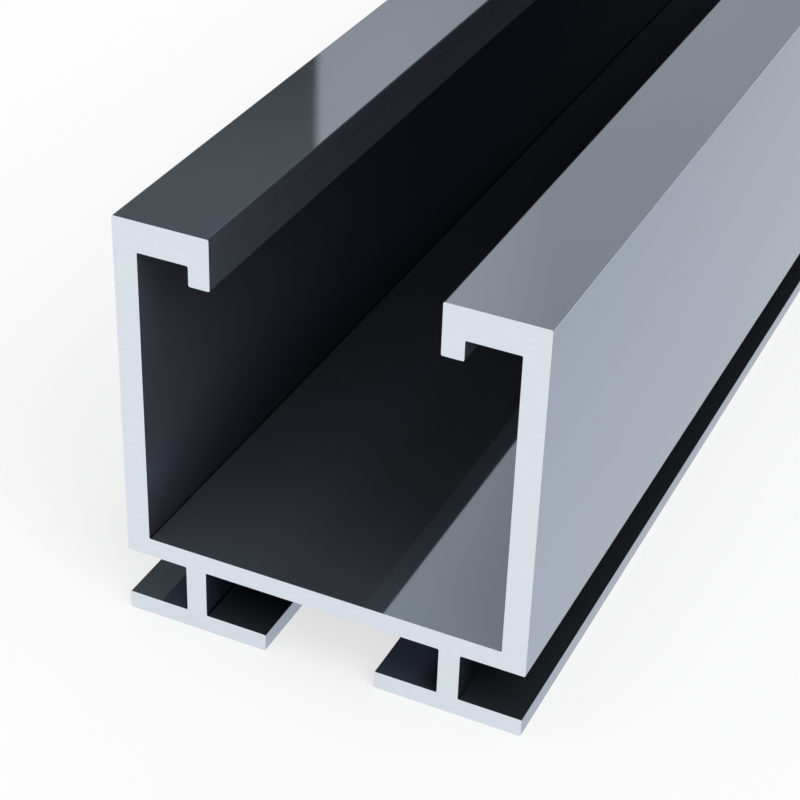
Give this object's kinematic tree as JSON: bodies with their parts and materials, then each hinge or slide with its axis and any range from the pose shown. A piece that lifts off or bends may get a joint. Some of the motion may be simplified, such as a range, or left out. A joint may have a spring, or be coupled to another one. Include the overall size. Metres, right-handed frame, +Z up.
{
  "type": "solar mounting rail",
  "caption": "Straight extruded aluminium rail: open lipped channel for nuts and clamps on top, T-shaped feet with grooves below.",
  "frame": {"origin": "middle of the rail's length and width, on the plane that the two feet stand on", "axes": "+Y along the rail's length, +X across it, +Z up out of the slot"},
  "size_m": [0.041, 1.2, 0.043],
  "materials": {
    "anodised_aluminium": "bright anodised extrusion with satin sawn ends"
  },
  "bodies": {
    "root": {"rail": "anodised_aluminium"}
  },
  "joints": []
}
